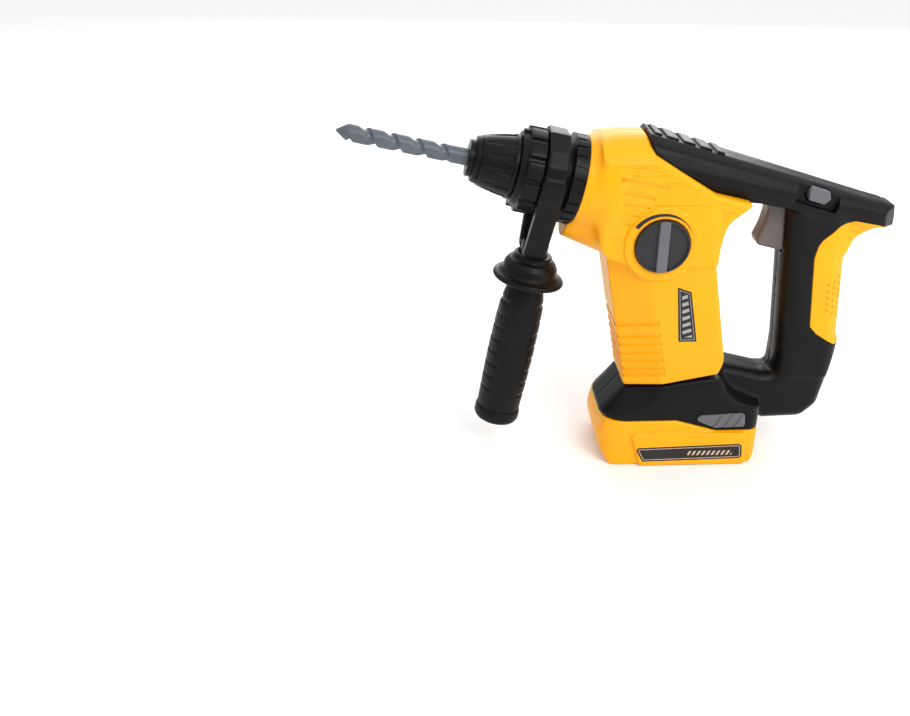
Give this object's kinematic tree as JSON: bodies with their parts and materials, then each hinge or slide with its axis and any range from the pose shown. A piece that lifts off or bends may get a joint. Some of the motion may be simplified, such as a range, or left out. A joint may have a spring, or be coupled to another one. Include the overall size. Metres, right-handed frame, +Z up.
{
  "type": "toy rotary hammer drill",
  "caption": "Toy rotary hammer with a tilted barrel, masonry bit, D handle with trigger, side handle, mode dial and the slide-on battery pack it stands on",
  "frame": {"origin": "middle of the bounding box in x and y, on the surface the battery pack stands on", "axes": "+X from the bit towards the rear handle, +Y towards the side away from the mode dial, +Z up"},
  "size_m": [0.3602, 0.0686, 0.2344],
  "materials": {
    "yellow_shell": "moulded yellow plastic with a fine satin texture",
    "yellow_grip": "soft yellow plastic skin, dull",
    "black_shell": "moulded charcoal plastic, fine grain",
    "black_trim": "moulded black plastic",
    "black_grip": "ribbed black grip, dull",
    "bit_grey": "moulded blue-grey plastic with a light sheen",
    "dial_grey": "moulded dark grey plastic",
    "trigger_grey": "moulded warm grey plastic",
    "button_grey": "moulded grey plastic",
    "label_black": "smooth printed label",
    "white_gear": "natural acetal",
    "brass_gear": "plain brass",
    "gunmetal": "turned dark steel",
    "motor_can": "drawn steel can",
    "screw_steel": "zinc plated steel",
    "spring_steel": "bright spring wire",
    "contact_metal": "nickel plated strip",
    "board_green": "solder mask",
    "speaker_black": "paper cone and black frame",
    "switch_blue": "moulded switch case",
    "cell_sleeve": "plastic sleeve of a dry cell"
  },
  "bodies": {
    "housing": {"left_housing": "yellow_shell", "right_housing": "yellow_shell", "left_frame": "black_shell", "right_frame": "black_shell", "top_ridge_pad": "black_trim", "rear_grip_pad": "yellow_grip", "housing_screws": "screw_steel", "frame_screws": "screw_steel", "collar": "black_trim", "ribbed_ring": "black_trim", "front_bush": "white_gear", "rear_bush": "white_gear", "rear_gear_plate": "white_gear", "front_gear_plate": "white_gear", "compound_pin": "screw_steel", "motor": "motor_can", "circuit_board": "board_green", "speaker": "speaker_black", "trigger_switch": "switch_blue", "left_decal": "label_black", "right_decal": "label_black", "trigger_spring": "spring_steel"},
    "spindle": {"spindle": "gunmetal", "output_gear": "white_gear", "chuck_sleeve": "black_trim", "chuck_nose": "black_trim"},
    "compound": {"compound_gear": "white_gear"},
    "pinion": {"motor_pinion": "brass_gear"},
    "bit": {"drill_bit": "bit_grey"},
    "dial": {"mode_dial": "dial_grey", "dial_clip": "screw_steel"},
    "trigger": {"trigger": "trigger_grey"},
    "direction_button": {"direction_button": "button_grey"},
    "left_release": {"left_release_button": "button_grey"},
    "right_release": {"right_release_button": "button_grey"},
    "side_handle": {"side_yoke": "black_shell", "side_guard": "black_trim", "side_grip": "black_grip", "side_grip_cap": "black_grip", "side_handle_screw": "screw_steel"},
    "battery_pack": {"pack_shell": "yellow_shell", "battery_door": "yellow_shell", "door_screw": "screw_steel", "cell_1": "cell_sleeve", "cell_2": "cell_sleeve", "cell_3": "cell_sleeve", "contact_springs": "spring_steel", "contact_plates": "contact_metal", "left_pack_label": "label_black", "right_pack_label": "label_black"}
  },
  "joints": [
    {"name": "spindle_spin", "type": "hinge", "parent": "housing", "child": "spindle", "pos_m": [-0.02866, 0, 0.197], "axis": [-0.9763, 0, 0.2164], "continuous": true},
    {"name": "compound_spin", "type": "hinge", "parent": "housing", "child": "compound", "pos_m": [0.0091, 0, 0.16405], "axis": [-0.9763, 0, 0.2164], "continuous": true},
    {"name": "pinion_spin", "type": "hinge", "parent": "housing", "child": "pinion", "pos_m": [0.00512, 0, 0.14608], "axis": [-0.9763, 0, 0.2164], "continuous": true},
    {"name": "bit_pull", "type": "slide", "parent": "spindle", "child": "bit", "axis": [-0.9763, 0, 0.2164], "range_m": [0, 0.026]},
    {"name": "mode_dial_turn", "type": "hinge", "parent": "housing", "child": "dial", "pos_m": [0.02284, -0.03, 0.163], "axis": [0, 1, 0], "range_deg": [-60, 60]},
    {"name": "trigger_pull", "type": "slide", "parent": "housing", "child": "trigger", "axis": [1, 0, 0], "range_m": [0, 0.005], "stiffness_N_per_m": 300, "springref_m": -0.001, "deforming": ["trigger_spring"]},
    {"name": "direction_shift", "type": "slide", "parent": "housing", "child": "direction_button", "axis": [0, 1, 0], "range_m": [-0.002, 0.002]},
    {"name": "left_release_press", "type": "slide", "parent": "housing", "child": "left_release", "axis": [0, 1, 0], "range_m": [0, 0.0009], "stiffness_N_per_m": 400, "springref_m": -0.0005},
    {"name": "right_release_press", "type": "slide", "parent": "housing", "child": "right_release", "axis": [0, -1, 0], "range_m": [0, 0.0009], "stiffness_N_per_m": 400, "springref_m": -0.0005},
    {"name": "side_handle_swivel", "type": "hinge", "parent": "housing", "child": "side_handle", "pos_m": [-0.04624, 0, 0.2009], "axis": [-0.9763, 0, 0.2164], "range_deg": [-120, 120]},
    {"name": "battery_pack_slide", "type": "slide", "parent": "housing", "child": "battery_pack", "axis": [-1, 0, 0], "range_m": [0, 0.045]}
  ],
  "couplings": [
    {"joint": "compound_spin", "follows": "spindle_spin", "ratio": -3},
    {"joint": "pinion_spin", "follows": "spindle_spin", "ratio": 10.8}
  ]
}
